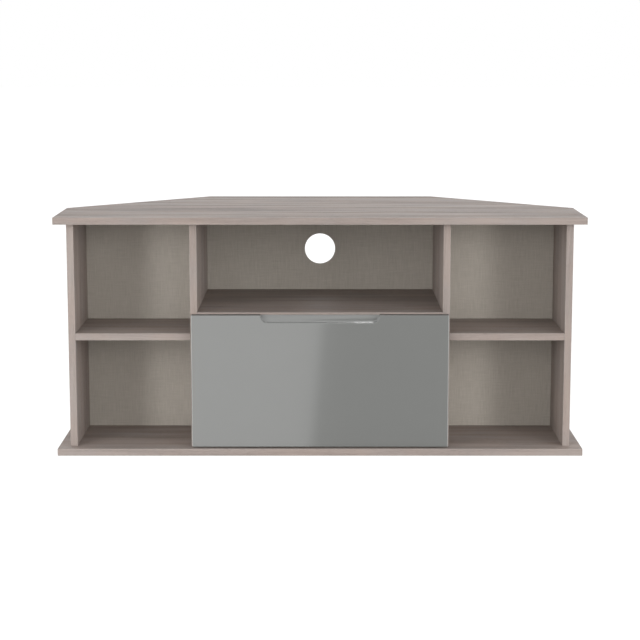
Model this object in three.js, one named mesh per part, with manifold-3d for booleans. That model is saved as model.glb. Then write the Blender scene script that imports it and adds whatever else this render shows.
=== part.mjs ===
// A corner media cabinet: four open side compartments, an open media slot with a cable hole, and one deep
// drawer on roller runners. Millimetres, +Z up, the front towards -Y. The origin is on the floor, under
// the middle of the cabinet.

import * as THREE from "three";
import { mergeVertices } from "three/addons/utils/BufferGeometryUtils.js";
import Module from "manifold-3d";

const wasm = await Module();
wasm.setup();

// ---------------------------------------------------------------------------------------------------
// Driving dimensions
// ---------------------------------------------------------------------------------------------------

// Carcass
const WIDTH = 1120;
const DEPTH = 517;
const HEIGHT = 510;
const BOARD = 15; // every melamine board
const HARDBOARD = 3; // the back panels
const END_DEPTH = 219; // square end of the top and base, in front of the 45 degree rear side
const UPRIGHT_SETBACK = 28.5; // front edges of uprights and shelves, behind the top's front edge
const END_PANEL_INSET = 24.5; // end panel's outer face, inside the top's end
const SIDE_BAY_DEPTH = 207.5;
const CENTRE_BAY_DEPTH = 360.5;
const CENTRE_BAY_WIDTH = 522;
const SIDE_SHELF_TOP = 260;
const CENTRE_SHELF_TOP = 305;
const CABLE_HOLE_RADIUS = 35;
const CABLE_HOLE_HEIGHT = 400;
const GAP = 0.3; // clearance round a piece that sits in a hole or a groove
const BACK_GROOVE = 4; // depth of the groove that holds a side back panel's inner edge

// Drawer
const FRONT_WIDTH = 546;
const FRONT_BOTTOM = 17.5;
const FRONT_TOP = 301.5;
const FRONT_THICKNESS = 18;
const FRONT_GAP = 1; // between the drawer front and the dividers' front edges
const RECESS_WIDTH = 250;
const RECESS_DROP = 15.5; // from the front's top edge down to the lip
const RECESS_CORNER = 12.5;
const RECESS_DEPTH = 11;
const LIP_THICKNESS = 5;
const LIP_UNDERCUT = 3; // how far the finger groove goes behind the lip
const DRAWER_LENGTH = 350;
const DRAWER_BOARD = 12;
const DRAWER_UNDERSIDE = 32;
const DRAWER_SIDE_HEIGHT = 190;
const DRAWER_BOTTOM_THICKNESS = 4;
const DRAWER_BOTTOM_HEIGHT = 42;
const DRAWER_GROOVE = 6;
const DRAWER_BACK_LIFT = 0.25; // the drawer back stands this far above the bottom panel

// Roller runners. Across a runner, sizes are counted from the divider's face towards the drawer.
const RUNNER_SPACE = 12.5;
const RUNNER_LENGTH = 350;
const SHEET = 1.25; // steel thickness
const TRACK_HEIGHT = 30; // the face that the rear roller runs on
const TRACK_CLEAR = 19.5; // height inside the cabinet member's channel
const TRACK_REACH = 9.5;
const ROLLER_RADIUS = 9;
const ROLLER_WIDTH = 6.5;
const ROLLER_BORE = 2.3;
const AXLE_RADIUS = 2;
const AXLE_HEAD_RADIUS = 3.5;
const ROLLER_AIR = 0.25; // between a roller and what runs on it, and beside a roller
const FRONT_ROLLER_SETBACK = 15;
const REAR_ROLLER_SETBACK = 12;
const FRONT_ROLLER_HEIGHT = 42.5;

// Fixings
const DOWEL_RADIUS = 4;
const DOWEL_LENGTH = 30;
const DOWEL_IN_FACE = 10; // how much of a dowel is in the board that it meets face on
const SCREW_LENGTH = 50;
const SCREW_RECESS = 0.5;
const CAM_RADIUS = 6;
const CAM_THICKNESS = 9;
const CAM_BACKSET = 24; // cam centre behind the end of the drawer side
const CAM_BOLT_RADIUS = 2.5;
const CAM_BOLT_IN_FRONT = 10;
const FIXING_EDGE = 40; // fixing centre from the edge of a board

// Facets of round pieces
const DOWEL_SIDES = 8;
const SCREW_SIDES = 12;
const AXLE_SIDES = 16;
const CAM_SIDES = 16;
const ROLLER_SIDES = 24;
const CABLE_HOLE_SIDES = 48;
const CORNER_STEPS = 8;

// ---------------------------------------------------------------------------------------------------
// Places worked out from the driving dimensions
// ---------------------------------------------------------------------------------------------------

const FRONT_EDGE = -DEPTH / 2;
const UPRIGHT_FRONT = FRONT_EDGE + UPRIGHT_SETBACK;
const SIDE_BACK = UPRIGHT_FRONT + SIDE_BAY_DEPTH;
const CENTRE_BACK = UPRIGHT_FRONT + CENTRE_BAY_DEPTH;
const CEILING = HEIGHT - BOARD; // underside of the top
const END_OUTER = WIDTH / 2 - END_PANEL_INSET;
const END_INNER = END_OUTER - BOARD;
const DIVIDER_INNER = CENTRE_BAY_WIDTH / 2;
const DIVIDER_OUTER = DIVIDER_INNER + BOARD;
const DRAWER_OUTER = DIVIDER_INNER - RUNNER_SPACE;
const DRAWER_INNER = DRAWER_OUTER - DRAWER_BOARD;
const DRAWER_TOP = DRAWER_UNDERSIDE + DRAWER_SIDE_HEIGHT;
const SIDES = [
  ["left", -1],
  ["right", 1],
];

// ---------------------------------------------------------------------------------------------------
// Materials
// ---------------------------------------------------------------------------------------------------

function finish(color, roughness, metalness = 0) {
  return () => new THREE.MeshStandardMaterial({ color, roughness, metalness });
}

const oakBoard = finish(0xa89e98, 0.55);
const linenBoard = finish(0x8f887f, 0.8);
const glossFront = finish(0x8e908e, 0.08);
const drawerBoard = finish(0xb4aea6, 0.6);
const zincSteel = finish(0xb9bcbf, 0.35, 1);
const rollerPlastic = finish(0xe4e2dc, 0.45);
const beech = finish(0xc9a877, 0.7);
const camZinc = finish(0x9c9fa3, 0.4, 1);

// ---------------------------------------------------------------------------------------------------
// Shapes
// ---------------------------------------------------------------------------------------------------

function boxBetween(low, high) {
  const size = high.map((value, i) => value - low[i]);
  const centre = high.map((value, i) => (value + low[i]) / 2);
  return new THREE.BoxGeometry(...size).translate(...centre);
}

// A box on one side of the cabinet: near and far are distances from the middle, in X.
function sideBox(sign, [near, far], [y0, y1], [z0, z1]) {
  const [x0, x1] = sign > 0 ? [near, far] : [-far, -near];
  return boxBetween([x0, y0, z0], [x1, y1, z1]);
}

function grown(geometry, amount) {
  geometry.computeBoundingBox();
  const { min, max } = geometry.boundingBox;
  return boxBetween(
    min.toArray().map((value) => value - amount),
    max.toArray().map((value) => value + amount),
  );
}

function extrudeUp(shape, bottom, height) {
  const geometry = new THREE.ExtrudeGeometry(shape, { depth: height, bevelEnabled: false });
  return geometry.translate(0, 0, bottom);
}

// The shape's own Y becomes Z, and it is extruded along Y.
function extrudeAlongY(shape, from, to) {
  const geometry = new THREE.ExtrudeGeometry(shape, {
    depth: to - from,
    bevelEnabled: false,
    curveSegments: CORNER_STEPS,
  });
  return geometry.rotateX(Math.PI / 2).translate(0, to, 0);
}

// A turned piece about the Z axis, from a profile of [radius, height] points.
function turned(profile, segments) {
  return new THREE.LatheGeometry(
    profile.map(([radius, height]) => new THREE.Vector2(radius, height)),
    segments,
  ).rotateX(Math.PI / 2);
}

function rod(radius, length, segments) {
  const half = length / 2;
  return turned([[0, -half], [radius, -half], [radius, half], [0, half]], segments);
}

function toSolid(geometry) {
  const bare = geometry.clone();
  bare.deleteAttribute("normal");
  bare.deleteAttribute("uv");
  const merged = mergeVertices(bare);
  return new wasm.Manifold(
    new wasm.Mesh({
      numProp: 3,
      vertProperties: merged.attributes.position.array,
      triVerts: new Uint32Array(merged.index.array),
    }),
  );
}

function toGeometry(solid) {
  const mesh = solid.getMesh();
  const geometry = new THREE.BufferGeometry();
  geometry.setAttribute("position", new THREE.BufferAttribute(mesh.vertProperties, 3));
  geometry.setIndex(new THREE.BufferAttribute(mesh.triVerts, 1));
  geometry.computeVertexNormals();
  return geometry;
}

function carve(geometry, tools) {
  return toGeometry(tools.reduce((solid, tool) => solid.subtract(toSolid(tool)), toSolid(geometry)));
}

function join(geometries) {
  const [first, ...rest] = geometries.map(toSolid);
  return toGeometry(rest.reduce((solid, other) => solid.add(other), first));
}

// Adds a mesh that turns about its own centre, and so is placed by its position.
function addPiece(group, name, geometry, material) {
  geometry.computeBoundingBox();
  const centre = geometry.boundingBox.getCenter(new THREE.Vector3());
  const mesh = new THREE.Mesh(geometry.translate(-centre.x, -centre.y, -centre.z), material());
  mesh.name = name;
  mesh.position.copy(centre);
  group.add(mesh);
}

// ---------------------------------------------------------------------------------------------------
// Fixings of the carcass
// ---------------------------------------------------------------------------------------------------

function dowel(grow = 0) {
  const radius = DOWEL_RADIUS + grow;
  const half = DOWEL_LENGTH / 2 + grow;
  const chamfer = 1;
  return turned(
    [
      [0, -half],
      [radius - chamfer, -half],
      [radius, chamfer - half],
      [radius, half - chamfer],
      [radius - chamfer, half],
      [0, half],
    ],
    DOWEL_SIDES,
  );
}

// A confirmat screw, head down, with its head's face at height 0.
function confirmat(grow = 0) {
  const headRadius = 5 + grow;
  const shankRadius = 3.5 + grow;
  const threadRadius = 2.7 + grow;
  const headHeight = 3.5 + grow;
  const shankTop = 14;
  const tip = SCREW_LENGTH + grow;
  return turned(
    [
      [0, -grow],
      [headRadius, -grow],
      [headRadius, 1 + grow],
      [shankRadius, headHeight],
      [shankRadius, shankTop],
      [threadRadius, shankTop],
      [threadRadius, tip - 3],
      [0, tip],
    ],
    SCREW_SIDES,
  );
}

function hexSocket() {
  const acrossFlats = 4;
  const depth = 2.5;
  const radius = acrossFlats / Math.sqrt(3);
  return rod(radius, 2 * depth, 6);
}

// Every fixing of the carcass: its name, and where it is.
function carcassFixings() {
  const fixings = [];
  const endRows = [UPRIGHT_FRONT + FIXING_EDGE, SIDE_BACK - FIXING_EDGE];
  const dividerRows = [UPRIGHT_FRONT + FIXING_EDGE, CENTRE_BACK - FIXING_EDGE];
  const rowNames = ["front", "rear"];
  const uprightDowelHeight = CEILING + DOWEL_IN_FACE - DOWEL_LENGTH / 2;
  const inward = DOWEL_LENGTH / 2 - DOWEL_IN_FACE; // dowel centre inside the end of its shelf
  for (const [side, sign] of SIDES) {
    const uprights = [
      [`${side}_end`, END_INNER + BOARD / 2, endRows],
      [`${side}_divider`, DIVIDER_INNER + BOARD / 2, dividerRows],
    ];
    for (const [upright, distance, rows] of uprights) {
      rows.forEach((y, i) => {
        const x = sign * distance;
        fixings.push({ name: `${upright}_top_dowel_${rowNames[i]}`, at: [x, y, uprightDowelHeight] });
        fixings.push({ name: `${upright}_base_screw_${rowNames[i]}`, at: [x, y, SCREW_RECESS], screw: true });
      });
    }
    const shelfEnds = [
      [`${side}_shelf_outer`, END_INNER - inward, SIDE_SHELF_TOP, endRows],
      [`${side}_shelf_inner`, DIVIDER_OUTER + inward, SIDE_SHELF_TOP, endRows],
      [`centre_shelf_${side}`, DIVIDER_INNER - inward, CENTRE_SHELF_TOP, dividerRows],
    ];
    for (const [end, distance, shelfTop, rows] of shelfEnds) {
      rows.forEach((y, i) => {
        const at = [sign * distance, y, shelfTop - BOARD / 2];
        fixings.push({ name: `${end}_dowel_${rowNames[i]}`, at, level: true });
      });
    }
  }
  return fixings;
}

function placed(geometry, { at, level }) {
  return (level ? geometry.rotateY(Math.PI / 2) : geometry).translate(...at);
}

function addFixings(group, fixings) {
  for (const fixing of fixings) {
    const shape = fixing.screw ? carve(confirmat(), [hexSocket()]) : dowel();
    const mesh = new THREE.Mesh(shape, fixing.screw ? zincSteel() : beech());
    mesh.name = fixing.name;
    mesh.position.set(...fixing.at);
    mesh.rotation.y = fixing.level ? Math.PI / 2 : 0;
    group.add(mesh);
  }
}

function fixingHoles(fixings) {
  return fixings.map((fixing) => placed(fixing.screw ? confirmat(GAP) : dowel(GAP), fixing));
}

// ---------------------------------------------------------------------------------------------------
// Carcass
// ---------------------------------------------------------------------------------------------------

// The six-sided outline of the top and the base.
function cornerOutline() {
  const half = WIDTH / 2;
  const shoulder = FRONT_EDGE + END_DEPTH;
  const halfBackEdge = half - (DEPTH - END_DEPTH);
  return new THREE.Shape([
    new THREE.Vector2(-half, FRONT_EDGE),
    new THREE.Vector2(half, FRONT_EDGE),
    new THREE.Vector2(half, shoulder),
    new THREE.Vector2(halfBackEdge, -FRONT_EDGE),
    new THREE.Vector2(-halfBackEdge, -FRONT_EDGE),
    new THREE.Vector2(-half, shoulder),
  ]);
}

function sideBackPanel(sign) {
  return sideBox(
    sign,
    [DIVIDER_OUTER - BACK_GROOVE, END_OUTER],
    [SIDE_BACK, SIDE_BACK + HARDBOARD],
    [BOARD, CEILING],
  );
}

function centreBackPanel() {
  const panel = boxBetween(
    [-DIVIDER_OUTER, CENTRE_BACK, BOARD],
    [DIVIDER_OUTER, CENTRE_BACK + HARDBOARD, CEILING],
  );
  const cutter = rod(CABLE_HOLE_RADIUS, 4 * HARDBOARD, CABLE_HOLE_SIDES)
    .rotateX(Math.PI / 2)
    .translate(0, CENTRE_BACK + HARDBOARD / 2, CABLE_HOLE_HEIGHT);
  return carve(panel, [cutter]);
}

function makeCarcass() {
  const carcass = new THREE.Group();
  const fixings = carcassFixings();
  const holes = fixingHoles(fixings);
  const height = [BOARD, CEILING];
  const sideDepth = [UPRIGHT_FRONT, SIDE_BACK];
  const centreDepth = [UPRIGHT_FRONT, CENTRE_BACK];

  addPiece(carcass, "top_board", carve(extrudeUp(cornerOutline(), CEILING, BOARD), holes), oakBoard);
  addPiece(carcass, "base_board", carve(extrudeUp(cornerOutline(), 0, BOARD), holes), oakBoard);
  for (const [side, sign] of SIDES) {
    const endPanel = sideBox(sign, [END_INNER, END_OUTER], sideDepth, height);
    const divider = sideBox(sign, [DIVIDER_INNER, DIVIDER_OUTER], centreDepth, height);
    const shelfHeight = [SIDE_SHELF_TOP - BOARD, SIDE_SHELF_TOP];
    const shelf = sideBox(sign, [DIVIDER_OUTER, END_INNER], sideDepth, shelfHeight);
    const groove = grown(sideBackPanel(sign), GAP);
    addPiece(carcass, `${side}_end_panel`, carve(endPanel, holes), oakBoard);
    addPiece(carcass, `${side}_divider`, carve(divider, [...holes, groove]), oakBoard);
    addPiece(carcass, `${side}_shelf`, carve(shelf, holes), oakBoard);
    addPiece(carcass, `${side}_back_panel`, sideBackPanel(sign), linenBoard);
  }
  const centreShelf = boxBetween(
    [-DIVIDER_INNER, UPRIGHT_FRONT, CENTRE_SHELF_TOP - BOARD],
    [DIVIDER_INNER, CENTRE_BACK, CENTRE_SHELF_TOP],
  );
  addPiece(carcass, "centre_shelf", carve(centreShelf, holes), oakBoard);
  addPiece(carcass, "centre_back_panel", centreBackPanel(), linenBoard);
  addFixings(carcass, fixings);
  return carcass;
}

// ---------------------------------------------------------------------------------------------------
// Runners
// ---------------------------------------------------------------------------------------------------

// A box in a runner: across is counted from the divider's face towards the drawer.
function runnerBox(sign, [a0, a1], depth, height) {
  return sideBox(sign, [DIVIDER_INNER - a1, DIVIDER_INNER - a0], depth, height);
}

// A round bar across a runner, from one distance off the divider's face to another.
function crossRod(sign, radius, [a0, a1], y, z) {
  const x = sign * (DIVIDER_INNER - (a0 + a1) / 2);
  return rod(radius, a1 - a0, AXLE_SIDES).rotateY(Math.PI / 2).translate(x, y, z);
}

// A shoulder, the axle itself and its riveted head, out from a runner's web on a roller's centre.
function axle(sign, webFace, direction, y, z) {
  const rollerNear = webFace + direction * 2 * ROLLER_AIR;
  const rollerFar = rollerNear + direction * ROLLER_WIDTH;
  const headNear = rollerFar + direction * ROLLER_AIR;
  const headFar = headNear + direction * 3 * ROLLER_AIR;
  const inWeb = webFace - direction * SHEET / 2;
  const ordered = (a, b) => [Math.min(a, b), Math.max(a, b)];
  return [
    crossRod(sign, AXLE_HEAD_RADIUS, ordered(inWeb, webFace + direction * ROLLER_AIR), y, z),
    crossRod(sign, AXLE_RADIUS, ordered(inWeb, headFar), y, z),
    crossRod(sign, AXLE_HEAD_RADIUS, ordered(headNear, headFar), y, z),
  ];
}

function addRoller(group, name, sign, webFace, direction, y, z) {
  const half = ROLLER_WIDTH / 2;
  const chamfer = 0.5;
  const profile = [
    [ROLLER_BORE, -half],
    [ROLLER_RADIUS - chamfer, -half],
    [ROLLER_RADIUS, chamfer - half],
    [ROLLER_RADIUS, half - chamfer],
    [ROLLER_RADIUS - chamfer, half],
    [ROLLER_BORE, half],
    [ROLLER_BORE, -half],
  ];
  const centre = webFace + direction * (2 * ROLLER_AIR + half);
  const mesh = new THREE.Mesh(turned(profile, ROLLER_SIDES), rollerPlastic());
  mesh.name = name;
  mesh.rotation.y = Math.PI / 2;
  mesh.position.set(sign * (DIVIDER_INNER - centre), y, z);
  group.add(mesh);
}

// A C-shaped channel on the divider, with a roller at its front end and a stop at its rear end.
function addCabinetRunner(group, side, sign) {
  const front = UPRIGHT_FRONT + 1;
  const rear = front + RUNNER_LENGTH;
  const rollerY = front + FRONT_ROLLER_SETBACK;
  const channelTop = TRACK_HEIGHT + TRACK_CLEAR;
  const behindRoller = rollerY + ROLLER_RADIUS + 2;
  const web = [0, SHEET];
  const reach = [SHEET / 2, TRACK_REACH];
  addPiece(
    group,
    `${side}_cabinet_runner`,
    join([
      runnerBox(sign, web, [front, rear], [TRACK_HEIGHT - SHEET, channelTop + SHEET]),
      runnerBox(sign, reach, [front, rear], [TRACK_HEIGHT - SHEET, TRACK_HEIGHT]),
      runnerBox(sign, reach, [behindRoller, rear], [channelTop, channelTop + SHEET]),
      runnerBox(sign, reach, [rear - SHEET, rear], [TRACK_HEIGHT - SHEET, channelTop + SHEET]),
      ...axle(sign, SHEET, 1, rollerY, FRONT_ROLLER_HEIGHT),
    ]),
    zincSteel,
  );
  addRoller(group, `${side}_front_roller`, sign, SHEET, 1, rollerY, FRONT_ROLLER_HEIGHT);
}

// A folded strip under and beside the drawer side. Its outward flange runs on the front roller, and its
// own roller runs in the cabinet member's channel.
function addDrawerRunner(group, side, sign) {
  const front = GAP;
  const rear = DRAWER_LENGTH;
  const rollerY = rear - REAR_ROLLER_SETBACK;
  const rollerZ = TRACK_HEIGHT + ROLLER_RADIUS + ROLLER_AIR;
  const flangeUnderside = FRONT_ROLLER_HEIGHT + ROLLER_RADIUS + ROLLER_AIR;
  const flangeTop = flangeUnderside + SHEET;
  const ledgeTop = DRAWER_UNDERSIDE - ROLLER_AIR;
  const webFar = RUNNER_SPACE - ROLLER_AIR;
  const webNear = webFar - SHEET;
  const underDrawer = [webFar - SHEET / 2, RUNNER_SPACE + DRAWER_BOARD];
  addPiece(
    group,
    `${side}_drawer_runner`,
    join([
      runnerBox(sign, [webNear, webFar], [front, rear], [ledgeTop - SHEET, flangeTop]),
      runnerBox(sign, underDrawer, [front, rear], [ledgeTop - SHEET, ledgeTop]),
      runnerBox(sign, [SHEET + 1, webFar], [front, rear], [flangeUnderside, flangeTop]),
      ...axle(sign, webNear, -1, rollerY, rollerZ),
    ]),
    zincSteel,
  );
  addRoller(group, `${side}_rear_roller`, sign, webNear, -1, rollerY, rollerZ);
}

// ---------------------------------------------------------------------------------------------------
// Drawer. Its group stands at the back face of the drawer front, so Y counts back from there.
// ---------------------------------------------------------------------------------------------------

// An opening at the front's top edge, with round lower corners. It is grown on its sides and bottom.
function recessOutline(grow) {
  const half = RECESS_WIDTH / 2 + grow;
  const bottom = FRONT_TOP - RECESS_DROP - grow;
  const corner = RECESS_CORNER + grow;
  const above = FRONT_TOP + 5;
  const shape = new THREE.Shape();
  shape.moveTo(-half, above);
  shape.lineTo(-half, bottom + corner);
  shape.absarc(corner - half, bottom + corner, corner, Math.PI, 1.5 * Math.PI);
  shape.lineTo(half - corner, bottom);
  shape.absarc(half - corner, bottom + corner, corner, 1.5 * Math.PI, 2 * Math.PI);
  shape.lineTo(half, above);
  shape.closePath();
  return shape;
}

function drawerFront(tools) {
  const face = -FRONT_THICKNESS;
  const slab = boxBetween([-FRONT_WIDTH / 2, face, FRONT_BOTTOM], [FRONT_WIDTH / 2, 0, FRONT_TOP]);
  const wall = face + RECESS_DEPTH;
  const recess = extrudeAlongY(recessOutline(0), face - 1, wall);
  const fingerGroove = extrudeAlongY(recessOutline(LIP_UNDERCUT), face + LIP_THICKNESS, wall);
  return carve(slab, [recess, fingerGroove, ...tools]);
}

// A cam with its bolt, which runs forwards from the drawer side's end into the front.
function camFitting(sign, height, grow = 0) {
  const camY = CAM_BACKSET;
  const bolt = [-CAM_BOLT_IN_FRONT - grow, camY];
  const boltX = sign * (DRAWER_INNER + DRAWER_BOARD / 2);
  const camX = sign * (DRAWER_INNER + (CAM_THICKNESS + grow) / 2);
  return join([
    rod(CAM_RADIUS + grow, CAM_THICKNESS + grow, CAM_SIDES)
      .rotateY(Math.PI / 2)
      .translate(camX, camY, height),
    rod(CAM_BOLT_RADIUS + grow, bolt[1] - bolt[0], SCREW_SIDES)
      .rotateX(Math.PI / 2)
      .translate(boltX, (bolt[0] + bolt[1]) / 2, height),
  ]);
}

// The cross-shaped driver slot in a cam's face.
function camSlot(sign, height) {
  const long = 7;
  const narrow = 1.5;
  const deep = 2;
  const x = sign * DRAWER_INNER;
  return [[narrow, long], [long, narrow]].map(([y, z]) =>
    new THREE.BoxGeometry(2 * deep, y, z).translate(x, CAM_BACKSET, height),
  );
}

function makeDrawer() {
  const drawer = new THREE.Group();
  drawer.position.y = UPRIGHT_FRONT - FRONT_GAP;
  const bottomPanel = boxBetween(
    [-DRAWER_INNER - DRAWER_GROOVE, -DRAWER_GROOVE, DRAWER_BOTTOM_HEIGHT],
    [DRAWER_INNER + DRAWER_GROOVE, DRAWER_LENGTH, DRAWER_BOTTOM_HEIGHT + DRAWER_BOTTOM_THICKNESS],
  );
  const bottomGroove = grown(bottomPanel, GAP);
  const camHeights = [DRAWER_UNDERSIDE + FIXING_EDGE, DRAWER_TOP - FIXING_EDGE];
  const camHoles = SIDES.flatMap(([, sign]) => camHeights.map((height) => camFitting(sign, height, GAP)));
  const backUnderside = DRAWER_BOTTOM_HEIGHT + DRAWER_BOTTOM_THICKNESS + DRAWER_BACK_LIFT;

  addPiece(drawer, "drawer_front", drawerFront([bottomGroove, ...camHoles]), glossFront);
  addPiece(drawer, "drawer_bottom", bottomPanel, drawerBoard);
  addPiece(
    drawer,
    "drawer_back",
    boxBetween(
      [-DRAWER_INNER, DRAWER_LENGTH - DRAWER_BOARD, backUnderside],
      [DRAWER_INNER, DRAWER_LENGTH, DRAWER_TOP],
    ),
    drawerBoard,
  );
  for (const [side, sign] of SIDES) {
    const board = sideBox(
      sign,
      [DRAWER_INNER, DRAWER_OUTER],
      [0, DRAWER_LENGTH],
      [DRAWER_UNDERSIDE, DRAWER_TOP],
    );
    addPiece(drawer, `drawer_${side}_side`, carve(board, [bottomGroove, ...camHoles]), drawerBoard);
    camHeights.forEach((height, i) => {
      const cam = carve(camFitting(sign, height), camSlot(sign, height));
      addPiece(drawer, `drawer_${side}_cam_${["lower", "upper"][i]}`, cam, camZinc);
    });
    addDrawerRunner(drawer, side, sign);
  }
  return drawer;
}

const carcass = makeCarcass();
for (const [side, sign] of SIDES) {
  addCabinetRunner(carcass, side, sign);
}

const group = new THREE.Group();
group.add(carcass, makeDrawer());

export default group;
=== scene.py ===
"""Corner media cabinet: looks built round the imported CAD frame. Lengths are in metres."""

import math
import bmesh
import bpy
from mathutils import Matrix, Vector


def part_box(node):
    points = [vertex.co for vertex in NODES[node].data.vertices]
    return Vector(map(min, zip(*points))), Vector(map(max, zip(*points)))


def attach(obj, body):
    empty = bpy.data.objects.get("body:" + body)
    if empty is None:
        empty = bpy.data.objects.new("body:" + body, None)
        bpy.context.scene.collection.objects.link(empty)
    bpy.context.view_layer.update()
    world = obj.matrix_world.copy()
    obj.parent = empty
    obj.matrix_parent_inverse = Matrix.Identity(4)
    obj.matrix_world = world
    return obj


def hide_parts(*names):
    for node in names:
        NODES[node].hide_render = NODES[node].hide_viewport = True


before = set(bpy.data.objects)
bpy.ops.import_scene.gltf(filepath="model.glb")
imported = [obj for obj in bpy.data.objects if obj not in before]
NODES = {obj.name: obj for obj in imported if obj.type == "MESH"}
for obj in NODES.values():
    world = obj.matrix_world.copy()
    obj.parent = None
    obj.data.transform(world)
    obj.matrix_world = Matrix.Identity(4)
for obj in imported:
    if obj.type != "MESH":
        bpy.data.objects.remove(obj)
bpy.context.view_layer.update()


def cad_slot(node):
    """The record's material slot of a CAD node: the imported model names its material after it."""
    return NODES[node].data.materials[0].name.split(".")[0]


SLOT_OF = {node: cad_slot(node) for node in NODES}

# ---------------------------------------------------------------- sizes of the pieces made here

# The drawer front: its finger recess, the lip in front of the recess and the cove behind the lip.
RECESS_HALF = 0.125
RECESS_DROP = 0.0155
RECESS_CORNER = 0.0125
RECESS_CORNER_STEPS = 12
LIP_THICKNESS = 0.005
LIP_UNDERCUT = 0.003
COVE = 0.006
COVE_STEPS = 8

# Its rounded arrises: the full width, and each kind of edge's share of it.
FRONT_ARRIS = 0.0016
FRONT_ARRIS_STEPS = 4
TOP_AND_BOTTOM_SHARE = 0.4
LIP_AND_SIDE_SHARE = 1.0
LIP_BACK_SHARE = 0.2
FRONT_TO_BACK_SHARE = 0.15
REAR_SHARE = 0.35
LIP_END_SHARE = 0.6

# Its rear: the slot for the drawer bottom, and the holes for the cams' bolts.
SLOT_HALF_LENGTH = 0.2427
SLOT_DEPTH = 0.0062
SLOT_AIR = 0.0002
BOLT_HOLE_RADIUS = 0.0027
BOLT_HOLE_DEPTH = 0.0102
BOLT_HOLE_SIDES = 20

EDGING_THICKNESS = 0.0004
EDGING_INSET = 0.0007

# Runner screws. The cross is given as half its bar's width, its reach and its depth.
SCREW_HEAD_RADIUS = 0.0032
SCREW_HEAD_RISE = 0.0011
SCREW_CROSS = (0.00042, 0.0017, 0.0009)
SCREW_SETBACKS = (0.045, 0.150, 0.290)
RUNNER_SHEET = 0.00125
RUNNER_AIR = 0.00025

PIN_RADIUS = 0.0016
PIN_RISE = 0.0006
PIN_SPACING = 0.085
PIN_END = 0.030

# Folds in degrees over which shading stays sharp.
FRONT_CREASE = 30.0
EDGING_CREASE = 35.0
SCREW_CREASE = 40.0
PIN_CREASE = 60.0

# ---------------------------------------------------------------- camera

CAMERA_PLACE = (0.0, -3.9401, 0.8730)
CAMERA_TILT_DOWN = 8.946  # degrees
CAMERA_LENS = 99.43  # millimetres, as is the sensor's width
CAMERA_SENSOR = 36.0


def make_camera():
    data = bpy.data.cameras.new("camera")
    data.sensor_width = CAMERA_SENSOR
    data.lens = CAMERA_LENS
    camera = bpy.data.objects.new("camera", data)
    camera.location = CAMERA_PLACE
    camera.rotation_euler = (math.radians(90.0 - CAMERA_TILT_DOWN), 0.0, 0.0)
    bpy.context.scene.collection.objects.link(camera)
    bpy.context.scene.camera = camera


# ---------------------------------------------------------------- node graphs


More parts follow.
